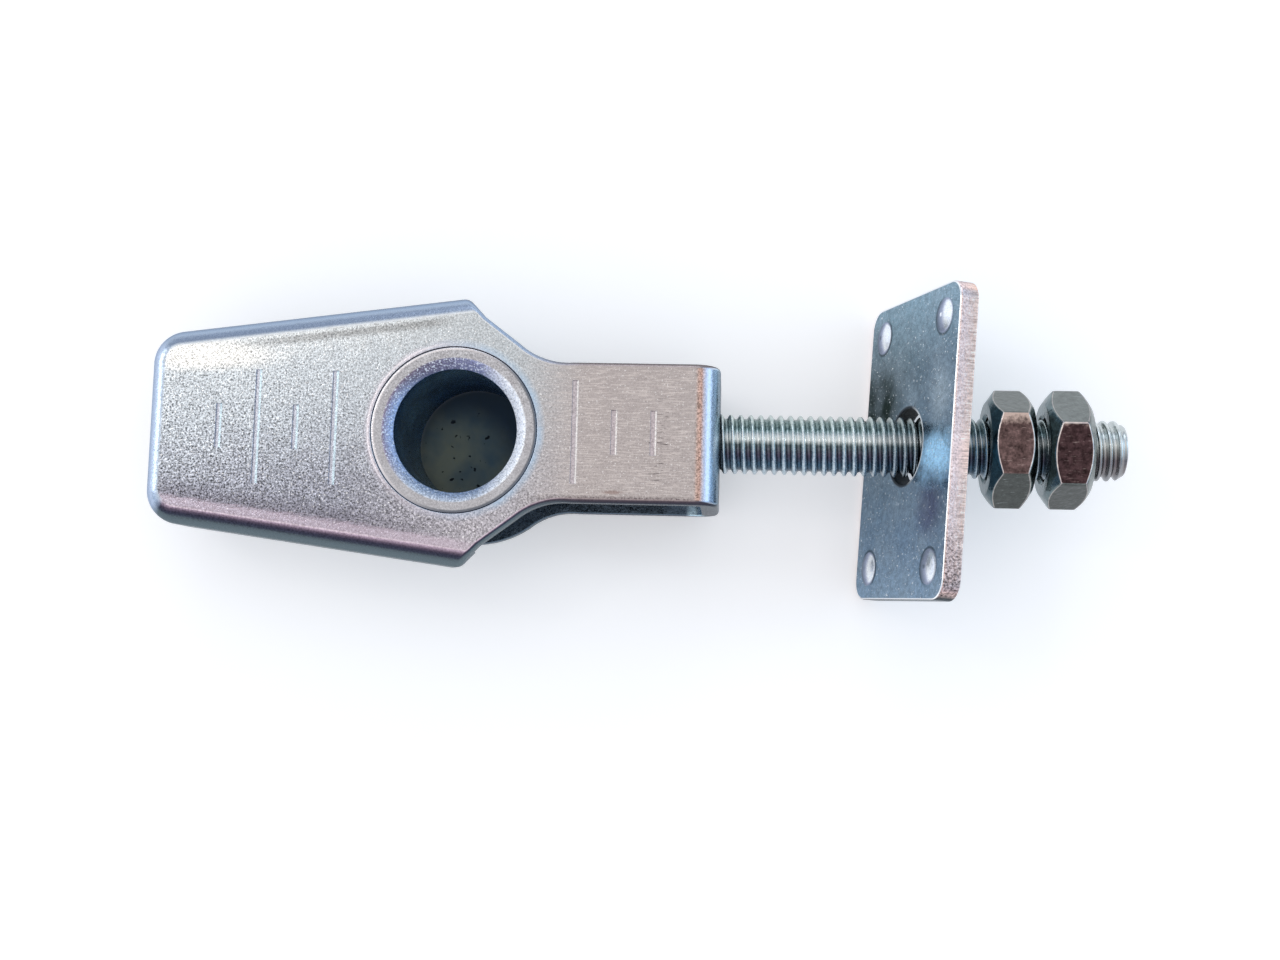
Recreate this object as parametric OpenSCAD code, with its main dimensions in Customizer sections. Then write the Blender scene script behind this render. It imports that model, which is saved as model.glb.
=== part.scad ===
// Motorcycle chain adjuster: a folded steel carrier with an axle bush, a threaded
// bolt caught in its fold, a loose end plate and two nuts on the bolt.
// Millimetres. X runs along the bolt towards the nuts, Z is the axle's axis and
// points out of the face with the index lines. The origin is where the bolt's axis
// crosses the axle's axis, half way through the axle bore.

/* [Carrier] */
// Thickness of the carrier's sheet
sheet = 2.2; // [1.5:0.1:3]
// Outside height over the two leaves of the carrier
carrier_height = 19; // [15:0.5:24]
// Distance from the axle's axis to the closed end of the pan
pan_reach = 38.5; // [30:0.5:50]
// Width of the pan at its closed end
pan_end_width = 23.2; // [18:0.2:30]
// Width of the pan across the axle's axis
pan_axle_width = 33.2; // [28:0.2:40]
// Height of the pan's turned-down edges
pan_depth = 10; // [6:0.5:14]
// Corner radius of the pan's closed end seen from above
pan_corner_r = 4.2; // [3:0.1:8]
// Outside radius of the turned-down edges
pan_bend_r = 2.8; // [2.4:0.1:4]
// Lean of the free ends of the turned-down edges
edge_lean = 14; // [0:1:30]
// Width of the neck and of the lower strap
neck_width = 17.2; // [12:0.2:22]
// Distance from the axle's axis to the outer face of the fold
fold_reach = 32.4; // [26:0.1:40]
// Outside radius of the fold's two bends
fold_r = 3.3; // [2.6:0.1:6]
// Radius of the shoulders where the pan runs into the neck
shoulder_r = 9; // [5:0.5:14]
// Radius of the round eye at the end of the lower strap
eye_r = 13; // [11.5:0.1:16]
// Radius of the fillets between the eye and the lower strap
eye_fillet_r = 9; // [4:0.5:14]

/* [Index lines] */
// Distance from the axle's axis to the first index lines
index_first = 14.8; // [12:0.1:20]
// Spacing of the index lines
index_step = 4.8; // [3:0.1:6]
// Length of the long lines on the pan
index_long = 14; // [8:0.1:18]
// Length of the long line on the neck
index_neck = 12.6; // [8:0.1:14]
// Length of the short lines
index_short = 5.4; // [3:0.1:8]
// Width of a line
index_width = 0.7; // [0.2:0.05:1]
// Depth of a line
index_depth = 0.25; // [0.1:0.05:0.6]

/* [Axle bush] */
// Diameter of the axle bore, for a 15 mm axle
bore_d = 15.2; // [12:0.1:20]
// Wall of the bush
bush_wall = 2.6; // [1.6:0.1:4]
// Chamfer at each end of the bore
bore_chamfer = 1.1; // [0.3:0.1:1.6]

/* [Bolt] */
// Nominal diameter of the bolt's thread
thread_d = 8; // [6:1:10]
// Distance from the axle's axis to the free end of the bolt
bolt_reach = 82.5; // [70:0.5:100]
// Length of the cone at the bolt's free end
tip_length = 1.5; // [0.5:0.1:3]
// Diameter of the bolt's end face
tip_d = 6.2; // [4:0.1:7]
// Height of the bolt's head
head_height = 5.3; // [4:0.1:6]

/* [End plate] */
// Height of the end plate across the bolt
plate_height = 38.5; // [30:0.2:50]
// Width of the end plate
plate_width = 25.6; // [20:0.2:32]
// Thickness of the end plate
plate_thickness = 2.4; // [1.5:0.1:4]
// Corner radius of the end plate
plate_corner_r = 2.6; // [1:0.1:6]
// Diameter of the plate's clearance hole
plate_hole_d = 9.6; // [8.6:0.1:11]
// Distance from the axle's axis to the middle of the end plate
plate_at = 56.8; // [40:0.1:62]
// Lean of the loose plate towards the nuts
plate_lean = 18.4; // [0:0.1:19]
// Turn of the loose plate seen from above
plate_turn = 3.4; // [0:0.1:5]
// Distance of the bumps from the plate's edges
bump_inset = 4; // [3:0.1:7]
// Diameter of a bump
bump_d = 4.4; // [3:0.1:6]
// Height of a bump
bump_height = 0.6; // [0.2:0.05:1]

/* [Nuts] */
// Width across flats of the nuts
nut_flats = 13; // [10:1:14]
// Height of a nut
nut_height = 5.5; // [4:0.1:8]
// Angle of the cones that chamfer a nut
nut_cone = 35; // [20:1:45]
// Diameter of a nut's bearing face
nut_face_d = 11.6; // [9.4:0.1:12.4]
// Diameter of the countersink at each end of a nut's bore
nut_sink_d = 8.8; // [8.2:0.1:9.2]
// Distance from the axle's axis to the adjusting nut
nut_at = 65.55; // [60:0.05:75]
// Distance between the two nuts
nut_gap = 1.55; // [0.3:0.05:4]
// Turn of the lock nut's flats
lock_nut_turn = 10; // [0:1:59]

/* [Fits] */
// Play round the bush in the carrier
bush_play = 0.06; // [0.02:0.01:0.2]
// Play round the bolt in the fold
bolt_play = 0.1; // [0.05:0.01:0.3]
// Gap between the bolt's head and the fold
head_gap = 0.06; // [0:0.01:0.3]
// Gap between the head's flats and each leaf, which keeps the bolt from turning
head_side_gap = 0.8; // [0.3:0.1:1]
// Running play of the nuts on the bolt
nut_play = 0.05; // [0.02:0.01:0.1]

/* [Hidden] */
$fn = 64;
eps = 0.01;
reach_past = 1;
neck_half = neck_width / 2;
half_height = carrier_height / 2;
web_inner = fold_reach - sheet;
leaf_end = fold_reach - fold_r;
head_start = web_inner - head_gap - head_height;
head_flats = carrier_height - 2 * sheet - 2 * head_side_gap;
fold_inner_r = fold_r - sheet;
hex_sides = 6;
hex_to_corner = 1 / cos(30);
// the pan's sides lean outwards from its closed end to the axle
side_angle = atan((pan_axle_width - pan_end_width) / 2 / pan_reach);
// the pan's straight sides are drawn on to here and then cut off by the shoulders
pan_open = pan_reach / 4;
// plan points of the shoulder's outline
flange_tip = [1, pan_axle_width / 2 + tan(side_angle)];
shoulder_knee = [flange_tip[0] + sheet * 1.1, flange_tip[1] - sheet * 1.2];
shoulder_slope = 37;
shoulder_foot_x = shoulder_knee[0] + (shoulder_knee[1] - neck_half) / tan(shoulder_slope);
shoulder_tangent = shoulder_r * tan(shoulder_slope / 2);
shoulder_start = [
    shoulder_foot_x - shoulder_tangent * cos(shoulder_slope),
    neck_half + shoulder_tangent * sin(shoulder_slope)
];
shoulder_end_x = shoulder_foot_x + shoulder_tangent;
// how far a fillet's circle cuts in past the lines it meets
bite = 0.03;
// centre of the fillet between the eye and the strap
eye_fillet_y = neck_half + eye_fillet_r;
eye_fillet_x = sqrt(pow(eye_r + eye_fillet_r, 2) - pow(eye_fillet_y, 2));
eye_touch = eye_r / (eye_r + eye_fillet_r);
// radius of the sphere that gives the bumps their height and diameter
bump_sphere_r = (pow(bump_d / 2, 2) + pow(bump_height, 2)) / (2 * bump_height);
lock_nut_at = nut_at + nut_height + nut_gap;
nut_bore_d = thread_d + 2 * nut_play;
bush_d = bore_d + 2 * bush_wall;

// half width of the pan at x, drawn in by a margin
function side_y(x, margin) =
    pan_end_width / 2 + (x + pan_reach) * tan(side_angle) - margin / cos(side_angle);

// centre of the closed end's rounded corner on the +Y side
corner_x = -pan_reach + pan_corner_r;
corner_y = side_y(corner_x, pan_corner_r);

// outline of the pan in plan, drawn in by a margin and open to the right
module pan_plan(margin, open_x) {
    r = pan_corner_r - margin;
    end_x = -pan_reach + margin;
    difference() {
        polygon([
            [end_x, -side_y(end_x, margin)],
            [end_x, side_y(end_x, margin)],
            [open_x, side_y(open_x, margin)],
            [open_x, -side_y(open_x, margin)]
        ]);
        for (side = [0, 1])
            mirror([0, side])
                difference() {
                    polygon([
                        [corner_x, corner_y],
                        [corner_x - 2 * r, corner_y],
                        [corner_x - 2 * r, corner_y + 2 * r],
                        [corner_x - 2 * r * sin(side_angle), corner_y + 2 * r]
                    ]);
                    translate([corner_x, corner_y])
                        circle(r = r + bite);
                }
    }
}

// what a rounded edge takes off a square one: the edge is at the origin
module edge_profile(r) {
    difference() {
        translate([-r, -r])
            square(r + reach_past);
        translate([-r + bite, -r + bite])
            circle(r = r);
    }
}

// the rounded edges of the pan, as a cutting tool
module pan_edges() {
    for (side = [0, 1])
        mirror([0, side]) {
            // side
            translate([corner_x, corner_y, 0])
                rotate([0, 0, side_angle])
                    translate([0, pan_corner_r, 0])
                        rotate([90, 0, 90])
                            linear_extrude(pan_reach + pan_open)
                                edge_profile(pan_bend_r);
            // rounded corner
            translate([corner_x, corner_y, 0])
                rotate([0, 0, 90 + side_angle])
                    rotate_extrude(angle = 90 - side_angle)
                        translate([pan_corner_r, 0])
                            edge_profile(pan_bend_r);
        }
    // closed end
    translate([-pan_reach, 0, 0])
        rotate([90, 0, 180])
            linear_extrude(2 * corner_y, center = true)
                edge_profile(pan_bend_r);
}

// outline of the upper leaf's shoulders and neck
module shoulders_plan() {
    difference() {
        polygon([
            [-sheet, -side_y(-sheet, 0)],
            [-sheet, side_y(-sheet, 0)],
            flange_tip,
            shoulder_knee,
            shoulder_start,
            [shoulder_end_x, neck_half],
            [leaf_end, neck_half],
            [leaf_end, -neck_half],
            [shoulder_end_x, -neck_half],
            [shoulder_start[0], -shoulder_start[1]],
            [shoulder_knee[0], -shoulder_knee[1]],
            [flange_tip[0], -flange_tip[1]]
        ]);
        for (side = [-1, 1])
            translate([shoulder_end_x, side * (neck_half + shoulder_r - bite)])
                circle(r = shoulder_r, $fn = 128);
    }
}

// the upper leaf: pan, shoulders and neck
module upper_leaf() {
    difference() {
        translate([0, 0, -pan_depth])
            linear_extrude(pan_depth) {
                pan_plan(0, -sheet);
                shoulders_plan();
            }
        // hollow under the leaf
        translate([0, 0, -pan_depth - reach_past])
            linear_extrude(pan_depth + reach_past - sheet)
                pan_plan(sheet, leaf_end + reach_past);
        pan_edges();
        // lean of the free ends of the turned-down edges
        for (side = [-1, 1])
            translate([flange_tip[0], side * flange_tip[1], -pan_bend_r])
                rotate([0, edge_lean, 0])
                    translate([0, -pan_bend_r, -2 * pan_depth])
                        cube([pan_open, 2 * pan_bend_r, 2 * pan_depth]);
    }
}

// outline of the lower strap with its round eye
module lower_plan() {
    difference() {
        union() {
            circle(r = eye_r, $fn = 128);
            polygon([
                [0, -neck_half],
                eye_touch * [eye_fillet_x, -eye_fillet_y],
                [eye_fillet_x, -neck_half],
                [leaf_end, -neck_half],
                [leaf_end, neck_half],
                [eye_fillet_x, neck_half],
                eye_touch * [eye_fillet_x, eye_fillet_y],
                [0, neck_half]
            ]);
        }
        for (side = [-1, 1])
            translate([eye_fillet_x, side * (eye_fillet_y - bite)])
                circle(r = eye_fillet_r, $fn = 128);
    }
}

// the outline of a block with two rounded corners, seen from the side
module fold_block(r, inset) {
    h = half_height - inset;
    translate([leaf_end - 2 * sheet - inset, -h])
        square([2 * sheet + inset, 2 * h]);
    translate([leaf_end - sheet, -h + r])
        square([sheet + r, 2 * h - 2 * r]);
    for (side = [-1, 1])
        translate([leaf_end, side * (h - r)])
            circle(r = r);
}

// the fold that joins the two leaves
module fold() {
    translate([0, neck_half, -half_height])
        rotate([90, 0, 0])
            linear_extrude(neck_width)
                difference() {
                    fold_block(fold_r, 0);
                    fold_block(fold_inner_r, sheet);
                }
}

// the index lines, cut into the upper face
module index_line(x, length) {
    translate([x - index_width / 2, -length / 2, -index_depth])
        cube([index_width, length, index_depth + reach_past]);
}

// drawn with the upper face on the plane z = 0, then lowered or lifted to the bolt
module carrier() {
    color([0.74, 0.75, 0.76])
        translate([0, 0, half_height])
            difference() {
                union() {
                    upper_leaf();
                    fold();
                    translate([0, 0, -carrier_height])
                        linear_extrude(sheet)
                            lower_plan();
                }
                // holes for the bush and the bolt
                translate([0, 0, -carrier_height - reach_past])
                    cylinder(d = bush_d + 2 * bush_play, h = carrier_height + 2 * reach_past);
                translate([web_inner - reach_past, 0, -half_height])
                    rotate([0, 90, 0])
                        cylinder(d = thread_d + 2 * bolt_play, h = sheet + 2 * reach_past);
                // index lines: long and short in turn away from the axle
                index_line(-index_first, index_long);
                index_line(-index_first - index_step, index_short);
                index_line(-index_first - 2 * index_step, index_long);
                index_line(-index_first - 3 * index_step, index_short);
                index_line(index_first, index_neck);
                index_line(index_first + index_step, index_short);
                index_line(index_first + 2 * index_step, index_short);
            }
}

module axle_bush() {
    color([0.70, 0.72, 0.74])
        rotate_extrude()
            polygon([
                [bore_d / 2, -half_height + bore_chamfer],
                [bore_d / 2 + bore_chamfer, -half_height],
                [bush_d / 2, -half_height],
                [bush_d / 2, half_height],
                [bore_d / 2 + bore_chamfer, half_height],
                [bore_d / 2, half_height - bore_chamfer]
            ]);
}

module adjusting_bolt() {
    color([0.55, 0.58, 0.58])
        rotate([0, 90, 0]) {
            translate([0, 0, head_start])
                rotate([0, 0, 90])
                    cylinder(d = head_flats * hex_to_corner, h = head_height, $fn = hex_sides);
            translate([0, 0, head_start])
                cylinder(d = thread_d, h = bolt_reach - tip_length - head_start);
            translate([0, 0, bolt_reach - tip_length])
                cylinder(d1 = thread_d, d2 = tip_d, h = tip_length);
        }
}

module end_plate() {
    half_w = plate_width / 2 - plate_corner_r;
    half_h = plate_height / 2 - plate_corner_r;
    color([0.55, 0.62, 0.66])
        translate([plate_at, 0, 0])
            rotate([0, plate_lean, -plate_turn])
                rotate([0, 90, 0])
                    translate([0, 0, -plate_thickness / 2])
                        difference() {
                            union() {
                                linear_extrude(plate_thickness) {
                                    square([plate_width, 2 * half_h], center = true);
                                    square([2 * half_w, plate_height], center = true);
                                    for (x = [-half_w, half_w])
                                        for (y = [-half_h, half_h])
                                            translate([x, y])
                                                circle(r = plate_corner_r);
                                }
                                bumps(plate_thickness / 2);
                            }
                            translate([0, 0, plate_thickness])
                                bumps(0);
                            translate([0, 0, -reach_past])
                                cylinder(d = plate_hole_d, h = plate_thickness + 2 * reach_past);
                        }
}

// the four pressed bumps: caps of spheres that stand out of the plane z = 0 downwards
module bumps(root) {
    for (x = [-1, 1])
        for (y = [-1, 1])
            translate([
                x * (plate_width / 2 - bump_inset),
                y * (plate_height / 2 - bump_inset),
                0
            ])
                intersection() {
                    translate([0, 0, bump_sphere_r - bump_height])
                        sphere(r = bump_sphere_r);
                    translate([0, 0, -bump_height])
                        cylinder(d = bump_d, h = bump_height + root + (root == 0 ? eps : 0));
                }
}

// a hexagon nut along +Z, standing on the plane z = 0
module nut() {
    corner_d = nut_flats * hex_to_corner;
    rise = (corner_d - nut_face_d) / 2 * tan(nut_cone);
    sink = (nut_sink_d - nut_bore_d) / 2;
    difference() {
        intersection() {
            cylinder(d = corner_d, h = nut_height, $fn = hex_sides);
            union() {
                cylinder(d1 = nut_face_d, d2 = corner_d, h = rise);
                translate([0, 0, rise - eps])
                    cylinder(d = corner_d, h = nut_height - 2 * rise + 2 * eps);
                translate([0, 0, nut_height - rise])
                    cylinder(d1 = corner_d, d2 = nut_face_d, h = rise);
            }
        }
        translate([0, 0, -reach_past])
            cylinder(d = nut_bore_d, h = nut_height + 2 * reach_past);
        translate([0, 0, -eps])
            cylinder(d1 = nut_sink_d + 2 * eps, d2 = nut_bore_d, h = sink + eps);
        translate([0, 0, nut_height - sink])
            cylinder(d1 = nut_bore_d, d2 = nut_sink_d + 2 * eps, h = sink + eps);
    }
}

module adjusting_nut() {
    color([0.42, 0.45, 0.44])
        translate([nut_at, 0, 0])
            rotate([0, 90, 0])
                rotate([0, 0, 90])
                    nut();
}

module lock_nut() {
    color([0.44, 0.47, 0.46])
        translate([lock_nut_at, 0, 0])
            rotate([0, 90, 0])
                rotate([0, 0, 90 + lock_nut_turn])
                    nut();
}

carrier();
axle_bush();
adjusting_bolt();
end_plate();
adjusting_nut();
lock_nut();
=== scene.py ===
import math

import bmesh
import bpy
import numpy as np
from mathutils import Matrix, Vector


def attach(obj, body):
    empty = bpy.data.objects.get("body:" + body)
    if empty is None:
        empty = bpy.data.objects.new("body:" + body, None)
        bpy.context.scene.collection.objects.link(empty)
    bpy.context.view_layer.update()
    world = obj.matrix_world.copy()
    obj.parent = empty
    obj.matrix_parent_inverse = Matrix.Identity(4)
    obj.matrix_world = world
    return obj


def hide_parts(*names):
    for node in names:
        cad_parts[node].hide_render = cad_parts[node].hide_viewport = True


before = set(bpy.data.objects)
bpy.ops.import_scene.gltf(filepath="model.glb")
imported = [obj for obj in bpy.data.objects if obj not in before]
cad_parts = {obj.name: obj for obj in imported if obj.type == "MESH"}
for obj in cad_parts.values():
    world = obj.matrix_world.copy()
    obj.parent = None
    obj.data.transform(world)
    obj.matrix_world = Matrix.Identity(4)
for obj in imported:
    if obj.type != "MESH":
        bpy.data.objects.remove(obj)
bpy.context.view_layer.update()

MM = 0.001

# sizes in millimetres, as in the solids' source
HALF_HEIGHT = 9.5
INNER_SKIN = 7.3
PAN_REACH = 38.5
PAN_CORNER = 4.2
HALF_PAN, SIDE_SLOPE = 16.6, 0.1299
WEB_INNER, LEAF_END = 30.2, 29.1
EYE_RADIUS = 13.0
INDEX_FIRST, INDEX_STEP = 14.8, 4.8
INDEX_LONG, INDEX_NECK, INDEX_SHORT = 14.0, 12.6, 5.4
BORE_RADIUS = 7.6
CHAMFER_RADIUS = 8.85
HEAD_GAP, HEAD_HEIGHT = 0.06, 5.3
BOLT_END = 82.5
NUT_FLATS, NUT_HEIGHT, NUT_CONE = 13, 5.5, 35
NUT_FACE, NUT_SINK, NUT_BORE = 5.8, 4.42, 4.05
NUT_AT, LOCK_NUT_AT = 65.55, 72.6
PLATE_HALF_THICKNESS, PLATE_HALF_HEIGHT, PLATE_HALF_WIDTH = 1.2, 19.25, 12.8
PLATE_CORNER, BUMP_INSET = 2.6, 4.0
PLATE_MIDDLE = Vector((56.8, 0, 0))
PLATE_TURN = Matrix.Rotation(math.radians(-3.4), 3, "Z") @ Matrix.Rotation(
    math.radians(18.4), 3, "Y"
)


# ---------------------------------------------------------------- mesh helpers


def new_object(name, mesh, body, nodes):
    obj = bpy.data.objects.new(name, mesh)
    bpy.context.scene.collection.objects.link(obj)
    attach(obj, body)
    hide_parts(*nodes)
    return obj


def cad_copy(node, merge=0.05, flat=0.4):
    """The CAD node's mesh in millimetres, its split corners joined and each flat area one face."""
    bm = bmesh.new()
    bm.from_mesh(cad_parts[node].data)
    bmesh.ops.scale(bm, vec=(1 / MM, 1 / MM, 1 / MM), verts=bm.verts[:])
    bmesh.ops.remove_doubles(bm, verts=bm.verts[:], dist=merge)
    bmesh.ops.dissolve_degenerate(bm, dist=merge * 0.2, edges=bm.edges[:])
    bmesh.ops.dissolve_limit(
        bm, angle_limit=math.radians(flat), verts=bm.verts[:], edges=bm.edges[:]
    )
    bm.normal_update()
    return bm


def rolled(bm, name, weight_of, width, segments, sharp=38):
    """A mesh in metres whose sharp outward edges are rounded by weight_of(edge) times width."""
    layer = bm.edges.layers.float.new("bevel_weight_edge")
    for e in bm.edges:
        if len(e.link_faces) == 2 and e.is_convex:
            if e.calc_face_angle() > math.radians(25):
                e[layer] = weight_of(e)
    bmesh.ops.scale(bm, vec=(MM, MM, MM), verts=bm.verts[:])
    mesh = bpy.data.meshes.new(name)
    bm.to_mesh(mesh)
    bm.free()
    work = bpy.data.objects.new(name + "_work", mesh)
    bpy.context.scene.collection.objects.link(work)
    mod = work.modifiers.new("round", "BEVEL")
    mod.limit_method = "WEIGHT"
    mod.width = width * MM
    mod.segments = segments
    mod.use_clamp_overlap = False
    mod.miter_outer = "MITER_SHARP"
    mod.harden_normals = False
    made = bpy.data.meshes.new_from_object(
        work.evaluated_get(bpy.context.evaluated_depsgraph_get())
    )
    bpy.data.objects.remove(work)
    made.name = name
    made.shade_smooth()
    made.set_sharp_from_angle(angle=math.radians(sharp))
    return made


def flat_normals(obj):
    mod = obj.modifiers.new("flat", "WEIGHTED_NORMAL")
    mod.keep_sharp = True
    mod.weight = 80
    mod.mode = "FACE_AREA"


def grid_mesh(name, rows, ends="fan", sharp=40):
    """A mesh from closed rows of points; ends: fan caps both ends, loop joins last to first."""
    rows = np.array(rows, float)
    count, around = rows.shape[0], rows.shape[1]
    verts = [tuple(p * MM) for p in rows.reshape(-1, 3)]
    faces = []
    last = count if ends == "loop" else count - 1
    for i in range(last):
        a, b = i * around, ((i + 1) % count) * around
        for j in range(around):
            k = (j + 1) % around
            faces.append((a + j, a + k, b + k, b + j))
    if ends == "fan":
        for i, order in ((0, -1), (count - 1, 1)):
            centre = rows[i].mean(0)
            verts.append(tuple(centre * MM))
            c = len(verts) - 1
            for j in range(around):
                k = (j + 1) % around
                pair = (i * around + j, i * around + k)
                faces.append((c, *pair[::order]))
    mesh = bpy.data.meshes.new(name)
    mesh.from_pydata(verts, [], faces)
    bm = bmesh.new()
    bm.from_mesh(mesh)
    bmesh.ops.remove_doubles(bm, verts=bm.verts[:], dist=1e-6)
    bmesh.ops.dissolve_degenerate(bm, dist=1e-6, edges=bm.edges[:])
    bmesh.ops.recalc_face_normals(bm, faces=bm.faces[:])
    bm.to_mesh(mesh)
    bm.free()
    mesh.shade_smooth()
    mesh.set_sharp_from_angle(angle=math.radians(sharp))
    return mesh


def turned_row(at, radius, angle):
    """One closed row of points round the X axis; at and radius are numbers or arrays."""
    at = np.broadcast_to(at, angle.shape)
    radius = np.broadcast_to(radius, angle.shape)
    return np.stack([at, radius * np.sin(angle), -radius * np.cos(angle)], 1)


def least(values, soft):
    """Smooth minimum of a list of arrays."""
    values = np.stack(np.broadcast_arrays(*values))
    low = values.min(0)
    return low - soft * np.log(np.exp(-(values - low) / soft).sum(0))


def hex_radius(angle, flats, corner_angle, sharpness=90.0):
    """Radius of a hexagon with slightly rounded corners, at an angle in degrees."""
    total = 0
    for k in range(6):
        c = np.cos(np.radians(angle - corner_angle - 30 - 60 * k))
        total = total + (np.maximum(c, 1e-9) * 2 / flats) ** sharpness
    return total ** (-1 / sharpness)


# ---------------------------------------------------------------- carrier


def pan_side(normal, centre):
    """Skin of a face on the pan's turned-down edges, or None on a cut edge."""
    if centre.x < -PAN_REACH + 0.5:
        out = Vector((-1, 0, 0))
    else:
        lean = -0.3 if centre.x < -PAN_REACH + PAN_CORNER + 0.3 else 0.0
        out = Vector((lean, math.copysign(1, centre.y), 0))
    if normal.dot(out) > 0.25 and normal.x < 0.6 and abs(centre.z - HALF_HEIGHT) > 0.01:
        return "outer"
    if normal.dot(out) < -0.25:
        return "inner"
    return None


def carrier_kind(f):
    """Which skin of the folded sheet a face belongs to, or wall for a cut edge."""
    n, c = f.normal, f.calc_center_median()
    if abs(n.z) > 0.95:
        if abs(c.z) > HALF_HEIGHT - 0.1:
            return "outer"
        if abs(abs(c.z) - INNER_SKIN) < 0.1:
            return "inner"
    if c.x > LEAF_END - 0.05 and abs(n.y) < 0.2:
        return "outer" if n.x > 0 else "inner"
    if c.x < 3 and c.z > -0.4 and math.hypot(c.x, c.y) > 12:
        return pan_side(n, c) or "wall"
    return "wall"


PAN_LINES = (INDEX_LONG, INDEX_SHORT, INDEX_LONG, INDEX_SHORT)
NECK_LINES = (INDEX_NECK, INDEX_SHORT, INDEX_SHORT)
INDEX_LINES = [
    (side * (INDEX_FIRST + k * INDEX_STEP), length)
    for side, lengths in ((-1, PAN_LINES), (1, NECK_LINES))
    for k, length in enumerate(lengths)
]


def in_line(p):
    """True on an index line's pocket."""
    return p.z > 9 and any(
        abs(p.x - x) < 0.6 and abs(p.y) < length / 2 + 0.2 for x, length in INDEX_LINES
    )


def carrier_weight(e):
    """Full rounding between skin and cut edge, little at the pockets and holes."""
    mid = (e.verts[0].co + e.verts[1].co) / 2
    if in_line(mid):
        return 0.1
    if math.hypot(mid.x, mid.y) < 10.5:
        return 0.12
    if math.hypot(mid.y, mid.z) < 4.3 and mid.x > WEB_INNER - 0.1:
        return 0.25
    kinds = {carrier_kind(f) for f in e.link_faces}
    return 1.0 if kinds == {"outer", "wall"} else 0.22


carrier = new_object(
    "carrier_sheet",
    rolled(cad_copy("carrier"), "carrier_sheet", carrier_weight, 0.62, 4),
    "carrier",
    ["carrier"],
)
flat_normals(carrier)


# ---------------------------------------------------------------- bush


def lathe_rows(profile, around):
    angle = np.arange(around) * 2 * math.pi / around
    return [
        np.stack([r * np.cos(angle), r * np.sin(angle), np.full(around, z)], 1)
        for r, z in profile
    ]


def arc(cx, cz, r, a0, a1, steps):
    return [
        (cx + r * math.cos(math.radians(a)), cz + r * math.sin(math.radians(a)))
        for a in np.linspace(a0, a1, steps)
    ]


# radius and height from the middle of the bore up over the chamfer and the flat ring
half = [(BORE_RADIUS, 0), (BORE_RADIUS, 4), (BORE_RADIUS, 8.25)]
half += [(7.63, 8.37), (7.7, 8.5), (8.62, 9.42), (8.72, 9.48)]
half += [(CHAMFER_RADIUS, HALF_HEIGHT), (9.94, HALF_HEIGHT)]
half += arc(10.03, 9.3, 0.2, 84, 0, 5)
half += [(10.23, 6.0)]
profile = half + [(r, -z) for r, z in half[::-1][:-1]]
bush = new_object(
    "bush",
    grid_mesh("bush", lathe_rows(profile, 180), ends="loop", sharp=50),
    "carrier",
    ["axle_bush"],
)


# ---------------------------------------------------------------- bolt

PITCH = 1.25
ROOT, CREST = 3.24, 3.79
# one turn of the thread: share of the pitch, radius
FORM = [
    (-0.50, ROOT),
    (-0.42, 3.245),
    (-0.34, 3.300),
    (-0.22, 3.580),
    (-0.13, 3.740),
    (-0.06, CREST),
    (0.06, CREST),
    (0.13, 3.740),
    (0.22, 3.580),
    (0.34, 3.300),
    (0.42, 3.245),
]
SHANK, TIP = 3.99, 3.12


def bolt_mesh():
    around = 96
    beta = np.arange(around) * 360.0 / around
    b = np.radians(beta)
    head_end = WEB_INNER - HEAD_GAP
    head_start = head_end - HEAD_HEIGHT
    flats = hex_radius(beta, NUT_FLATS, 90)
    rows = []
    for x in np.concatenate([np.linspace(0, 1.2, 7), [2.6, 4.2, 5.15]]):
        cone = 5.9 + x * 1.75
        rows.append(turned_row(head_start + x, least([flats, cone + 0 * flats], 0.05), b))
    rows.append(turned_row(head_end, flats - 0.12, b))
    rows.append(turned_row(head_end, 4.3, b))
    rows.append(turned_row(head_end + 0.05, SHANK, b))
    start, end = 30.9, BOLT_END
    rows.append(turned_row(start - 0.3, SHANK, b))
    turns = int((end - start) / PITCH) + 3
    for i in range(-1, turns):
        for t, r in FORM:
            x = start + (i + t) * PITCH + PITCH * beta / 360.0
            inside = np.clip(x, start, end)
            cone = 4.02 - (inside - (end - 1.35)) * 0.66
            radius = least([np.full(around, r), cone], 0.012)
            at_end = inside >= end - 1e-9
            at_start = inside <= start + 1e-9
            radius = np.where(at_end, TIP, np.where(at_start, 3.8, radius))
            rows.append(turned_row(inside, radius, b))
    return grid_mesh("bolt_thread", rows, sharp=60)


bolt = new_object("bolt", bolt_mesh(), "carrier", ["adjusting_bolt"])


# ---------------------------------------------------------------- nuts


def nut_mesh(name, at, corner):
    """A hexagon nut chamfered on both faces, with a countersunk bore; corner is in degrees."""
    around = 192
    beta = np.arange(around) * 360.0 / around
    b = np.radians(beta)
    slope = 1 / math.tan(math.radians(NUT_CONE))
    outer = hex_radius(beta, NUT_FLATS, corner)
    steps = np.concatenate([[0.02, 0.06, 0.12, 0.2], np.linspace(0.3, 1.5, 13), [1.8, 2.3, 2.75]])
    steps = np.concatenate([steps, NUT_HEIGHT - steps[-2::-1]])
    rows = [(0, NUT_SINK), (0, NUT_FACE - 0.15)]
    for x in steps:
        low, high = NUT_FACE + x * slope, NUT_FACE + (NUT_HEIGHT - x) * slope
        rows.append((x, least([outer, low + 0 * outer, high + 0 * outer], 0.05)))
    rows += [(NUT_HEIGHT, NUT_FACE - 0.15), (NUT_HEIGHT, NUT_SINK)]
    rows += [(x, NUT_BORE) for x in (NUT_HEIGHT - 0.38, NUT_HEIGHT / 2, 0.38)]
    return grid_mesh(name, [turned_row(at + x, r, b) for x, r in rows], ends="loop", sharp=32)


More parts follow.
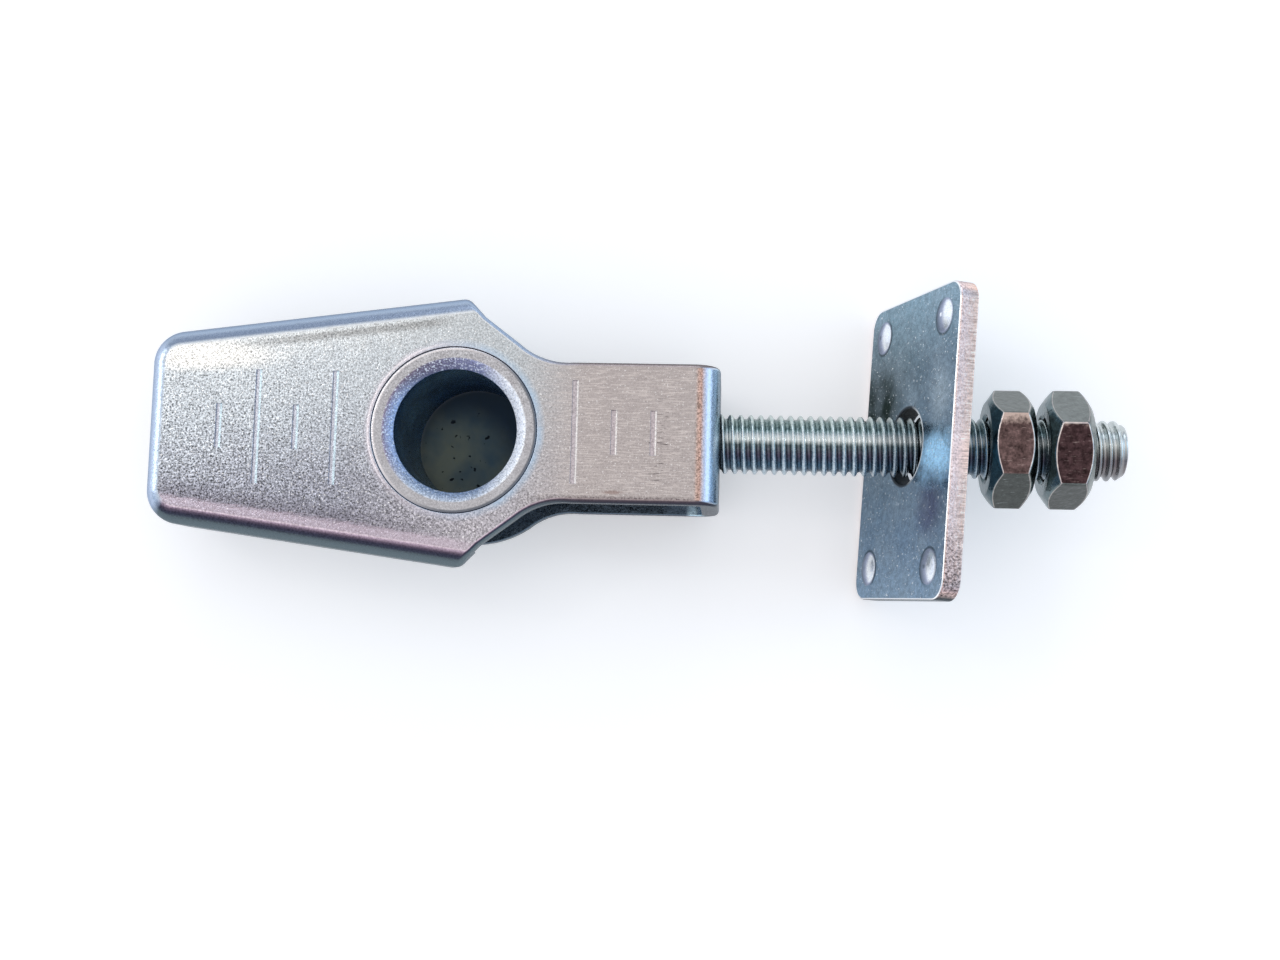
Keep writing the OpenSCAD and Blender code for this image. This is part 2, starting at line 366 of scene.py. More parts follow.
nut_1 = new_object(
    "nut_by_plate",
    nut_mesh("nut_by_plate", NUT_AT, 90),
    "adjusting_nut",
    ["adjusting_nut"],
)
nut_2 = new_object(
    "nut_by_end",
    nut_mesh("nut_by_end", LOCK_NUT_AT, 100),
    "lock_nut",
    ["lock_nut"],
)


# ---------------------------------------------------------------- plate


def plate_weight(e):
    """Full rounding along the face's outline, less along the back's, none on the bumps."""
    mid = PLATE_TURN.inverted() @ ((e.verts[0].co + e.verts[1].co) / 2 - PLATE_MIDDLE)
    if math.hypot(mid.y, mid.z) < 5.2:
        return 0.7
    up, across = abs(mid.y) - PLATE_HALF_HEIGHT, abs(mid.z) - PLATE_HALF_WIDTH
    corner = math.hypot(up + PLATE_CORNER, across + PLATE_CORNER)
    if up > -0.25 or across > -0.2 or corner > PLATE_CORNER - 0.2:
        return 1.0 if mid.x < 0 else 0.6
    return 0.0


plate = new_object(
    "plate",
    rolled(cad_copy("end_plate", 0.02), "plate", plate_weight, 0.28, 3),
    "end_plate",
    ["end_plate"],
)
flat_normals(plate)


# ---------------------------------------------------------------- materials


def rgb(r, g, b):
    """A display colour of 0 to 255 as linear values."""

    def one(v):
        v = v / 255
        return v / 12.92 if v < 0.04045 else ((v + 0.055) / 1.055) ** 2.4

    return (one(r), one(g), one(b), 1.0)


class Graph:
    """Short calls for one material's nodes; every value is a number or a socket."""

    def __init__(self, tree):
        self.tree = tree

    def put(self, node, socket, value):
        target = node.inputs[socket]
        if isinstance(value, bpy.types.NodeSocket):
            self.tree.links.new(value, target)
        else:
            target.default_value = value

    def node(self, kind, ins=None, **props):
        n = self.tree.nodes.new("ShaderNode" + kind)
        for k, v in props.items():
            setattr(n, k, v)
        for k, v in (ins or {}).items():
            self.put(n, k, v)
        return n

    def math(self, op, a, b=0.0, c=0.5):
        return self.node("Math", {0: a, 1: b, 2: c}, operation=op).outputs[0]

    def add(self, a, b):
        return self.math("ADD", a, b)

    def sub(self, a, b):
        return self.math("SUBTRACT", a, b)

    def mul(self, first, *others):
        for other in others:
            first = self.math("MULTIPLY", first, other)
        return first

    def line(self, value, slope, start):
        return self.math("MULTIPLY_ADD", value, slope, start)

    def most(self, a, b):
        return self.math("MAXIMUM", a, b)

    def size(self, value):
        return self.math("ABSOLUTE", value)

    def square(self, value):
        return self.math("POWER", value, 2.0)

    def hypot(self, a, b):
        return self.math("SQRT", self.add(self.square(a), self.square(b)))

    def vec(self, op, a, b):
        return self.node("VectorMath", {0: a, 1: b}, operation=op).outputs[0]

    def dot(self, a, b):
        return self.node("VectorMath", {0: a, 1: b}, operation="DOT_PRODUCT").outputs["Value"]

    def distance(self, p, centre):
        between = self.vec("SUBTRACT", p, centre)
        return self.node("VectorMath", {0: between}, operation="LENGTH").outputs["Value"]

    def axes(self, p):
        s = self.node("SeparateXYZ", {0: p})
        return s.outputs[0], s.outputs[1], s.outputs[2]

    def place(self):
        """Object position in millimetres."""
        at = self.node("TexCoord").outputs["Object"]
        return self.node("VectorMath", {0: at, "Scale": 1 / MM}, operation="SCALE").outputs[0]

    def normal(self):
        """Object normal, so that a painted tone stays where it is when the piece turns."""
        return self.node("TexCoord").outputs["Normal"]

    def mix(self, fac, a, b, blend="MIX"):
        n = self.node("Mix", data_type="RGBA", blend_type=blend)
        self.put(n, 0, fac)
        self.put(n, 6, a)
        self.put(n, 7, b)
        return n.outputs[2]

    def noise(self, p, scale, detail=2.0, rough=0.5):
        ins = {"Vector": p, "Scale": scale, "Detail": detail, "Roughness": rough}
        return self.node("TexNoise", ins).outputs[0]

    def drawn_noise(self, p, stretch, scale, detail, rough, turn=(0.0, 0.0, 0.0)):
        """Noise drawn out along the axes with a small stretch."""
        mapping = self.node("Mapping", {"Vector": p, "Scale": stretch, "Rotation": turn})
        return self.noise(mapping.outputs[0], scale, detail, rough)

    def between(self, value, low, high, to_low=0.0, to_high=1.0, smooth=False):
        n = self.node("MapRange", {0: value, 1: low, 2: high, 3: to_low, 4: to_high})
        n.clamp = True
        n.interpolation_type = "SMOOTHSTEP" if smooth else "LINEAR"
        return n.outputs[0]

    def ramp(self, value, stops):
        n = self.node("ValToRGB", {0: value})
        e = n.color_ramp.elements
        while len(e) < len(stops):
            e.new(0.5)
        for item, (at, colour) in zip(e, sorted(stops)):
            item.position = at
            item.color = rgb(*colour)
        return n.outputs[0]

    def spot(self, x, y, middle, half, core):
        """1 within the core share of an ellipse of these half sizes, fading to 0 at its rim."""
        dx = self.mul(self.sub(x, middle[0]), 1 / half[0])
        dy = self.mul(self.sub(y, middle[1]), 1 / half[1])
        return self.between(self.hypot(dx, dy), core, 1.0, 1.0, 0.0, smooth=True)

    def speckled(self, colour, value, amount):
        """The colour made darker and lighter by value, which varies about 0.5."""
        k = self.mul(self.sub(value, 0.5), amount)
        k = self.most(self.add(k, 1.0), 0.12)
        grey = self.node("CombineColor", {0: k, 1: k, 2: k}).outputs[0]
        return self.mix(1.0, colour, grey, "MULTIPLY")

    def bump(self, height, distance, strength, normal=None):
        ins = {"Height": height, "Distance": distance, "Strength": strength}
        if normal is not None:
            ins["Normal"] = normal
        return self.node("Bump", ins).outputs[0]


WHITE = rgb(255, 255, 255)


def material(name):
    m = bpy.data.materials.new(name)
    m.use_nodes = True
    tree = m.node_tree
    tree.nodes.clear()
    g = Graph(tree)
    out = g.node("OutputMaterial")
    shader = g.node("BsdfPrincipled")
    tree.links.new(shader.outputs[0], out.inputs[0])
    return m, g, shader, g.place()


# ---- carrier: a flat skin, its wear, the seam, the index lines and the bends, with painted reflection, highlights and shade


def skin(g, p, x, y, on_neck, cloud, grain):
    """The pan's skin, painted with its reflection: palest at its far left corner, darkest along
    its near side.
    """
    # painted reflection: the pan lighter towards its far left corner, darker towards its near side
    wave = g.add(y, g.mul(g.sub(cloud, 0.5), 7.0))
    rise = g.add(wave, g.mul(x, -0.1))
    pan = g.ramp(
        g.between(rise, -13.0, 16.0),
        [
            (0.0, (136, 136, 148)),
            (0.28, (154, 157, 168)),
            (0.55, (186, 193, 200)),
            (0.8, (200, 207, 212)),
            (1.0, (226, 230, 230)),
        ],
    )
    by_bush = g.mix(g.between(y, -12.0, 8.0), rgb(188, 184, 190), rgb(192, 199, 203))
    pan = g.mix(g.between(x, -14.0, 2.0, 0.0, 0.8), pan, by_bush)
    # painted highlight: a white streak near the far left corner
    pan = g.mix(g.spot(x, y, (-32.0, 8.8), (13.0, 2.6), 0.25), pan, rgb(255, 255, 250))
    neck = g.mix(cloud, rgb(176, 168, 167), rgb(188, 181, 179))
    colour = g.mix(on_neck, pan, neck)
    side = g.mul(g.between(x, -28.0, 5.0, 1.0, 0.42), g.between(y, 11.0, -8.0, 0.52, 1.1))
    amount = g.mul(g.line(side, 4.4, 0.4), g.between(on_neck, 0.0, 1.0, 1.0, 0.28))
    colour = g.speckled(colour, grain, amount)
    colour = g.speckled(colour, g.noise(p, 8.5, 1.0, 0.5), 0.5)
    near_side = g.between(g.line(x, 0.3, y), 6.0, -12.0)
    amount = g.mul(near_side, g.between(on_neck, 0.0, 1.0, 1.1, 0.0))
    colour = g.speckled(colour, g.noise(p, 2.3, 1.0, 0.5), amount)
    # painted glints: scattered white specks, fainter on the neck
    glint_noise = g.noise(g.vec("ADD", p, (31.0, 17.0, 5.0)), 4.2, 1.0, 0.5)
    glint_specks = g.mul(g.between(glint_noise, 0.64, 0.72), g.between(on_neck, 0.0, 1.0, 0.85, 0.55))
    return g.mix(glint_specks, colour, WHITE)


def scratches(g, p, x, y, colour, on_neck, drawn):
    """Fine scratches along the neck, short dark ones towards its end and one brownish rub."""
    fine = g.mul(g.between(drawn, 0.35, 0.65, -0.5, 0.5), on_neck)
    colour = g.mix(fine, colour, rgb(228, 220, 216))
    nick = g.between(g.drawn_noise(p, (0.7, 7.0, 1.0), 1.0, 1.0, 0.5), 0.66, 0.7)
    nick = g.mul(nick, g.spot(x, y, (25.6, -1.5), (2.6, 7.5), 0.5), 0.85)
    colour = g.mix(nick, colour, rgb(66, 58, 62))
    rub = g.mul(g.spot(x, y, (19.6, -7.3), (1.7, 0.35), 0.3), 0.5)
    return g.mix(rub, colour, rgb(120, 84, 74))


def painted_bend_lines(g, x, y, colour, on_neck, grain, drawn):
    """Painted shade lines along the foot of the bends, a painted pink highlight and painted shade
    by the neck's near edge; far and near measure from the pan's outline.
    """
    outline = g.line(x, SIDE_SLOPE, HALF_PAN)
    far = g.sub(y, outline)
    near = g.sub(g.mul(y, -1.0), outline)
    # painted shade: a dark line along the foot of the far bend
    shade_line = g.mul(g.between(far, -3.9, -3.3), g.between(far, -2.5, -2.8))
    shade_line = g.mul(shade_line, g.between(x, -30.0, -20.0), g.between(x, 0.0, -3.0), 0.5)
    colour = g.mix(shade_line, colour, g.speckled(rgb(120, 118, 116), grain, 3.0))
    # painted shade: a dark band along the foot of the near bend
    shade_line = g.mul(g.between(near, -6.2, -3.4, smooth=True), g.between(near, -2.9, -3.3))
    shade_line = g.mul(shade_line, g.between(x, 2.0, -12.0), 0.55)
    colour = g.mix(shade_line, colour, g.speckled(rgb(112, 108, 120), grain, 3.6))
    # painted highlight: a broken pink line where the near bend starts
    broken = g.add(near, g.mul(g.sub(drawn, 0.5), 1.2))
    pink_highlight = g.mul(g.between(broken, -3.75, -2.9, smooth=True), g.between(x, 6.0, 0.0), 0.6)
    colour = g.mix(pink_highlight, colour, rgb(206, 190, 204))
    # painted shade: a dark band along the neck's near rounded edge
    edge_shade = g.mul(g.between(y, -7.65, -8.0), on_neck, g.between(grain, 0.35, 0.55, 0.9, 0.4))
    return g.mix(edge_shade, colour, rgb(84, 72, 78))


def seam(g, x, y, colour, cloud):
    """A painted reflection as a halo round the bush, and a painted highlight line on the left of
    its hole.
    """
    ring = g.hypot(x, y)
    # painted reflection: lilac on the left, light blue on the right, round the hole's rounded edge
    halo_reflection = g.mix(g.between(x, -6.0, 6.0), rgb(212, 204, 214), rgb(176, 208, 236))
    cloudy = g.line(g.between(cloud, 0.3, 0.7), 0.5, 0.25)
    colour = g.mix(g.mul(g.between(ring, 11.3, 10.5), cloudy), colour, halo_reflection)
    left = g.between(g.add(x, g.mul(y, -0.35)), -4.0, -8.0)
    lit = g.mul(g.between(g.size(g.sub(ring, 10.62)), 0.16, 0.06), left, 0.7)
    return g.mix(lit, colour, rgb(250, 244, 250))


def index_lines(g, x, y, z, colour, on_neck, grain):
    """The colour with the index lines' pockets, each with a painted highlight along one wall, and
    the band that holds the pockets.
    """
    reach = g.sub(g.size(x), INDEX_FIRST)
    steps = g.math("ROUND", g.math("DIVIDE", reach, INDEX_STEP))
    off = g.mul(g.sub(reach, g.mul(steps, INDEX_STEP)), g.math("SIGN", x))
    band = g.mul(
        g.between(g.size(off), 0.56, 0.5),
        g.between(g.size(y), 7.4, 7.2),
        g.between(g.size(x), 14.0, 14.1),
        g.between(x, 26.5, 26.0),
        g.between(z, 9.0, 9.1),
    )
    sunk = g.mul(band, g.between(z, 9.495, 9.47), 0.85)
    # painted highlight: a pale blue line along one wall of each pocket on the pan, a white one on
    # the neck
    on_pan = g.mix(g.between(off, -0.05, 0.16), rgb(194, 196, 208), rgb(216, 240, 252))
    past = g.mix(g.between(off, 0.14, 0.24), rgb(192, 183, 188), rgb(255, 252, 250))
    groove = g.speckled(g.mix(on_neck, on_pan, past), grain, 1.4)
    return g.mix(sunk, colour, groove), band


# painted reflection and shade on the bends, by how far the surface turns from level (0) to upright
# (1)
FRONT_PAN = [
    (0.0, (204, 190, 204)),
    (0.012, (226, 212, 222)),
    (0.035, (190, 172, 190)),
    (0.055, (148, 132, 148)),
    (0.085, (96, 86, 102)),
    (0.14, (62, 62, 78)),
    (0.2, (64, 70, 84)),
    (0.27, (90, 102, 108)),
    (1.0, (116, 128, 132)),
]
FRONT_NECK = [
    (0.0, (172, 160, 160)),
    (0.1, (90, 82, 90)),
    (0.4, (58, 56, 66)),
    (1.0, (64, 70, 78)),
]
BACK_PAN = [
    (0.0, (255, 255, 252)),
    (0.03, (226, 232, 236)),
    (0.07, (150, 162, 180)),
    (0.3, (164, 180, 200)),
    (0.5, (150, 168, 192)),
    (0.75, (128, 144, 166)),
    (1.0, (100, 114, 130)),
]
BACK_NECK = [
    (0.0, (196, 186, 184)),
    (0.1, (150, 138, 136)),
    (0.4, (112, 104, 104)),
    (1.0, (104, 98, 100)),
]
LEFT_END = [
    (0.0, (206, 214, 222)),
    (0.1, (186, 200, 220)),
    (0.5, (172, 188, 214)),
    (0.75, (214, 226, 240)),
    (0.88, (250, 252, 255)),
    (1.0, (186, 196, 206)),
]
FOLD = [
    (0.0, (180, 168, 164)),
    (0.025, (200, 170, 158)),
    (0.05, (196, 160, 146)),
    (0.085, (226, 208, 212)),
    (0.15, (210, 208, 222)),
    (0.3, (202, 212, 228)),
    (0.6, (208, 228, 242)),
    (0.8, (140, 160, 174)),
    (1.0, (118, 130, 138)),
]


def bend_reflection(g, x, n, on_neck, grain):
    """Painted reflection and shade in bands that follow the turn of the sheet, from level (tilt 0)
    to upright (1).
    """
    nx, ny, nz = n
    level = g.math("SQRT", g.most(g.sub(1.0, g.square(nz)), 0.0001))
    tilt = g.sub(1.0, nz)
    front = g.mix(on_neck, g.ramp(tilt, FRONT_PAN), g.ramp(tilt, FRONT_NECK))
    back = g.mix(on_neck, g.ramp(tilt, BACK_PAN), g.ramp(tilt, BACK_NECK))
    left = g.speckled(g.ramp(tilt, LEFT_END), grain, 0.5)
    right = g.speckled(g.ramp(tilt, FOLD), grain, g.between(tilt, 0.05, 0.12, 3.0, 0.2))
    side = g.mix(g.between(g.math("DIVIDE", ny, level), -0.3, 0.3), front, back)
    patchy = g.mul(g.between(tilt, 0.2, 0.3, 1.0, 0.3), g.between(x, -30.0, 20.0, 2.2, 1.0))
    side = g.speckled(side, grain, g.mul(patchy, g.between(ny, 0.0, 0.1, 0.8, 0.15)))
    turn = g.math("DIVIDE", nx, level)
    side = g.mix(g.between(turn, -0.6, -0.85), side, left)
    return g.mix(g.mul(g.between(turn, 0.7, 0.9), g.between(x, 26.0, 28.0)), side, right)


def carrier_material():
    m, g, s, p = material("carrier_zinc")
    x, y, z = g.axes(p)
    n = g.axes(g.normal())
    nz = n[2]
    on_neck = g.between(x, 6.0, 17.0, smooth=True)
    cloud = g.noise(p, 0.5, 3.0, 0.6)
    grain = g.noise(p, 4.3, 1.5, 0.6)
    drawn = g.drawn_noise(p, (0.45, 5.0, 5.0), 1.3, 2.0, 0.6)
    colour = skin(g, p, x, y, on_neck, cloud, grain)
    colour = scratches(g, p, x, y, colour, on_neck, drawn)
    colour = painted_bend_lines(g, x, y, colour, on_neck, grain, drawn)
    colour = seam(g, x, y, colour, cloud)
    colour, band = index_lines(g, x, y, z, colour, on_neck, grain)
    bend = g.mul(g.between(nz, 0.9995, 0.985), g.sub(1.0, band))
    colour = g.mix(bend, colour, bend_reflection(g, x, n, on_neck, grain))
    # painted shade on the inner skins and the lower leaf, seen past the upper one
    gap_shade = g.mul(g.between(z, INNER_SKIN + 0.05, INNER_SKIN - 0.1), g.between(nz, 0.3, 0.8))
    inner = g.mix(cloud, rgb(84, 104, 122), rgb(108, 126, 142))
    colour = g.mix(g.mul(gap_shade, 0.96), colour, inner)
    glint = g.mul(g.spot(x, z, (29.5, -7.2), (1.5, 1.4), 0.5), g.between(y, -6.5, -7.8), 0.9)
    colour = g.mix(glint, colour, rgb(206, 236, 250))
    smooth = g.between(g.most(bend, gap_shade), 0.0, 1.0, 1.0, 0.45)
    height = g.mul(grain, g.between(x, -20.0, 14.0, 1.0, 0.22), smooth)
    g.put(s, "Base Color", colour)
    s.inputs["Metallic"].default_value = 1.0
    s.inputs["Specular Tint"].default_value = (0.58, 0.61, 0.64, 1.0)
    g.put(s, "Roughness", g.between(grain, 0.3, 0.7, 0.2, 0.34))
    g.put(s, "Normal", g.bump(cloud, 0.00014, 0.5, g.bump(height, 0.00006, 0.9)))
    return m


def bush_material():
    """A flat ring with a painted highlight and shade on its rim, a half-matt chamfer with painted
    reflection tones and glints, and the bore's wall with painted reflection.
    """
    m, g, s, p = material("bush_zinc")
    x, y, _ = g.axes(p)
    radius = g.hypot(x, y)
    grain = g.noise(p, 4.4, 1.5, 0.6)
    ring = g.mix(g.noise(p, 0.5, 2.0, 0.5), rgb(170, 168, 172), rgb(196, 198, 202))
    ring = g.speckled(ring, grain, g.between(y, -4.0, 8.0, 0.9, 1.8))
    # painted highlight on the left and painted shade on the right along the ring's outer rounded
    # edge
    across = g.between(g.add(x, g.mul(y, -0.6)), -6.0, 5.0)
    rim = g.mix(across, rgb(240, 236, 238), rgb(84, 92, 104))
    ring = g.mix(g.mul(g.between(radius, 9.78, 9.95), 0.8), ring, rim)
    # painted reflection and shade on the chamfer: a tone for each side, white on the right
    inward = g.between(radius, 8.7, 7.8)
    lip = g.mix(inward, rgb(142, 132, 156), rgb(168, 190, 228))
    near = g.mix(inward, rgb(176, 186, 200), rgb(138, 160, 190))
    lip = g.mix(g.between(y, -3.0, -7.0), lip, near)
    far = g.mix(g.between(x, -6.0, 3.0), rgb(104, 92, 108), rgb(136, 142, 178))
    lip = g.mix(g.between(y, 3.5, 7.5), lip, far)
    lip = g.mix(g.between(x, 3.0, 6.5), lip, rgb(246, 250, 255))
    lip = g.speckled(lip, grain, 2.2)
    # painted glints: pale blue-white flecks on the chamfer
    glint_flecks = g.noise(g.vec("ADD", p, (7.0, 3.0, 1.0)), 4.6, 1.0, 0.5)
    lip = g.mix(g.between(glint_flecks, 0.57, 0.64, 0.0, 0.8), lip, rgb(236, 244, 255))
    on_lip = g.between(radius, CHAMFER_RADIUS + 0.1, CHAMFER_RADIUS - 0.05)
    matt = g.mul(on_lip, g.between(radius, 7.61, 7.66))
    # painted reflection on the bore's wall, in blotches of two blues
    wall_blotches = g.between(g.noise(p, 0.22, 3.0, 0.6), 0.35, 0.65)
    wall = g.mix(wall_blotches, rgb(66, 110, 156), rgb(130, 182, 230))
    colour = g.mix(on_lip, ring, lip)
    colour = g.mix(g.between(radius, 7.66, 7.61), colour, wall)
    g.put(s, "Base Color", colour)
    g.put(s, "Metallic", g.sub(1.0, g.mul(matt, 0.7)))
    g.put(s, "Roughness", g.line(matt, 0.2, g.between(grain, 0.3, 0.7, 0.2, 0.3)))
    g.put(s, "Normal", g.bump(grain, 0.00004, 0.6))
    return m


def bolt_material():
    """Pale crests and roots darkened as painted shade, painted lighter above and darker below as
    if lit from above, with a tint near the plate and at the tip.
    """
    m, g, s, p = material("bolt_zinc")
    x, y, z = g.axes(p)
    radius = g.hypot(z, y)
    grain = g.noise(p, 3.0, 3.0, 0.6)
    mottle = g.between(grain, 0.32, 0.68)
    # painted light and shade: lighter on the upper side, the roots darker than the crests and
    # darkest below
    upper = g.between(y, -1.6, 0.6)
    crest = g.mix(
        upper,
        g.mix(mottle, rgb(146, 166, 178), rgb(206, 220, 228)),
        g.mix(mottle, rgb(168, 184, 182), rgb(206, 216, 212)),
    )
    lower_root_shade = g.mix(g.between(y, -2.6, -1.5), rgb(58, 82, 100), rgb(88, 82, 96))
    root = g.mix(
        upper,
        g.speckled(lower_root_shade, grain, 1.6),
        g.mix(mottle, rgb(88, 108, 108), rgb(136, 154, 152)),
    )
    colour = g.mix(g.between(radius, 3.3, 3.7), root, crest)
    lit = g.between(g.size(g.sub(y, 0.6)), 1.0, 0.3, 0.0, 0.75)
    colour = g.mix(g.mul(g.between(z, 2.2, 3.2), lit), colour, rgb(246, 250, 250))
    colour = g.mix(g.between(x, 49.0, 55.0, 0.0, 0.45), colour, rgb(52, 66, 78))
    # painted light and shade on the tip: lighter above, darker below
    tip = g.mix(g.between(y, -1.5, 0.5), rgb(146, 136, 132), rgb(232, 236, 234))
    colour = g.mix(g.between(x, 72.0, 78.0, 0.0, 0.6), colour, tip)
    colour = g.mix(g.between(x, 34.0, 29.0), colour, rgb(150, 156, 160))
    g.put(s, "Base Color", colour)
    s.inputs["Metallic"].default_value = 1.0
    g.put(s, "Roughness", g.between(grain, 0.3, 0.7, 0.16, 0.32))
    g.put(s, "Normal", g.bump(grain, 0.00003, 0.5))
    return m


def nut_material(name, turned, middle, upper, lower, cone):
    """Zinc nut; its facets towards the top, +Y and -Y carry painted reflection tones."""
    m, g, s, p = material(name)
    n = g.normal()
    nx = g.axes(n)[0]
    y = g.axes(p)[1]
    grain = g.noise(p, 1.3, 3.0, 0.6)
    fine = g.noise(p, 5.0, 1.5, 0.6)
    scratch = g.drawn_noise(p, (0.4, 4.0, 4.0), 1.8, 2.0, 0.7)
    colour = g.mix(g.between(grain, 0.3, 0.7), rgb(92, 100, 98), rgb(122, 130, 128))
    # painted reflections: a tone for each of the facets towards the top, +Y and -Y
    toward = []
    for at, tint in ((180, middle), (120, upper), (240, lower)):
        b = math.radians(at + turned)
        toward.append(g.dot(n, (0.0, math.sin(b), -math.cos(b))))
        colour = g.mix(g.between(toward[-1], 0.93, 0.985), colour, rgb(*tint))
    light = toward[0]
    mid = g.between(light, 0.9, 0.97)
    colour = g.speckled(colour, grain, g.between(mid, 0.0, 1.0, 0.9, 3.2))
    colour = g.speckled(colour, fine, g.between(mid, 0.0, 1.0, 0.4, 1.2))
    # painted highlight: pale near the +Y edge of the facet towards the top
    top = g.mul(mid, g.between(g.add(y, g.mul(grain, 3.0)), 3.7, 5.0), 0.8)
    colour = g.mix(top, colour, rgb(216, 196, 186))
    pale = g.mix(mid, rgb(170, 178, 180), rgb(206, 190, 184))
    colour = g.mix(g.between(scratch, 0.64, 0.72, 0.0, 0.45), colour, pale)
    # painted highlights on the corners and on the arcs where the chamfers meet the flats
    corner = g.mul(g.between(light, 0.86, 0.9), g.between(light, 0.985, 0.95), 0.9)
    side = g.size(nx)
    arcs = g.mul(g.between(side, 0.06, 0.14), g.between(side, 0.45, 0.3))
    roughening_and_edge_highlight = g.most(corner, g.mul(arcs, g.between(mid, 0.0, 1.0, 0.35, 0.9)))
    edge_highlight_tone = g.mix(g.between(grain, 0.35, 0.65), rgb(206, 196, 200), rgb(248, 236, 228))
    colour = g.mix(roughening_and_edge_highlight, colour, edge_highlight_tone)
    colour = g.mix(g.between(nx, -0.4, -0.7), colour, g.speckled(rgb(*cone), grain, 1.8))
    g.put(s, "Base Color", colour)
    s.inputs["Metallic"].default_value = 1.0
    g.put(s, "Roughness", g.between(grain, 0.3, 0.7, 0.14, 0.26))
    g.put(s, "Normal", g.bump(grain, 0.00008, 0.7))
    return m


# painted highlight and shade across a bump, from leaning one way (0) to the other (1)
BUMP_TONES = [
    (0.0, (96, 110, 122)),
    (0.35, (128, 140, 158)),
    (0.55, (168, 176, 198)),
    (0.68, (245, 250, 255)),
    (0.82, (236, 242, 252)),
    (1.0, (120, 134, 150)),
]


def plate_face(g, p, up, across, reflection_patch, grain, fine, cloud):
    """The plate's face with painted reflection and shade: paler ends, a dark area on the left, a
    blue patch by the hole and white glint specks.
    """
    # painted reflection and shade: the face lighter towards its ends and across
    colour = g.mix(g.between(up, -12.0, 10.0), rgb(116, 139, 161), rgb(98, 115, 122))
    colour = g.mix(g.between(across, -6.0, 9.0, 0.0, 0.35), colour, rgb(134, 156, 182))
    colour = g.mix(g.between(up, 10.0, 18.0, 0.0, 0.7), colour, rgb(150, 178, 194))
    colour = g.mix(g.between(up, -13.0, -18.0, 0.0, 0.6), colour, rgb(142, 168, 192))
    # painted reflection and shade: a lighter spot, a dark area on the left and a bluish spot
    for middle, half_sizes, core, tint in (
        ((5.6, 9.0), (5.5, 4.0), 0.0, (158, 174, 186)),
        ((6.2, -8.6), (7.5, 9.0), 0.3, (26, 38, 28)),
        ((-8.0, 8.0), (5.0, 5.0), 0.2, (92, 100, 128)),
    ):
        colour = g.mix(g.spot(up, across, middle, half_sizes, core), colour, rgb(*tint))
    colour = g.mix(g.between(cloud, 0.35, 0.65, 0.0, 0.4), colour, rgb(150, 166, 178))
    # painted reflection: a light blue patch by the hole
    colour = g.mix(g.mul(reflection_patch, 0.9), colour, rgb(172, 222, 255))
    colour = g.speckled(colour, grain, 1.2)
    colour = g.speckled(colour, fine, 1.2)
    scratch = g.drawn_noise(p, (1.0, 0.7, 4.0), 1.6, 2.0, 0.7, (0.5, 0.0, 0.0))
    colour = g.mix(g.between(scratch, 0.64, 0.72, 0.0, 0.35), colour, rgb(196, 208, 216))
    # painted glints: scattered white specks
    white = g.noise(g.vec("ADD", p, (9.0, 4.0, 2.0)), 3.0, 1.0, 0.5)
    return g.mix(g.between(white, 0.68, 0.74, 0.0, 0.8), colour, rgb(240, 245, 248))


def sheared_edge(g, p, up, depth, grit, cloud):
    """Granular near the face, striped further out, coarse at the lower end."""
    stripe = g.drawn_noise(p, (0.4, 3.2, 0.4), 1.5, 2.0, 0.6)
    low = g.between(g.add(up, g.mul(g.sub(cloud, 0.5), 8.0)), -9.0, -17.0)
    edge = g.mix(g.between(depth, -0.6, 0.9), rgb(236, 214, 212), rgb(240, 208, 194))
    edge = g.mix(low, edge, rgb(186, 164, 160))
    amount = g.add(g.between(depth, -0.9, 0.8, 2.2, 0.8), g.mul(low, 3.6))
    edge = g.speckled(edge, grit, amount)
    return g.speckled(edge, stripe, g.between(depth, -0.6, 0.6, 0.4, 1.8))


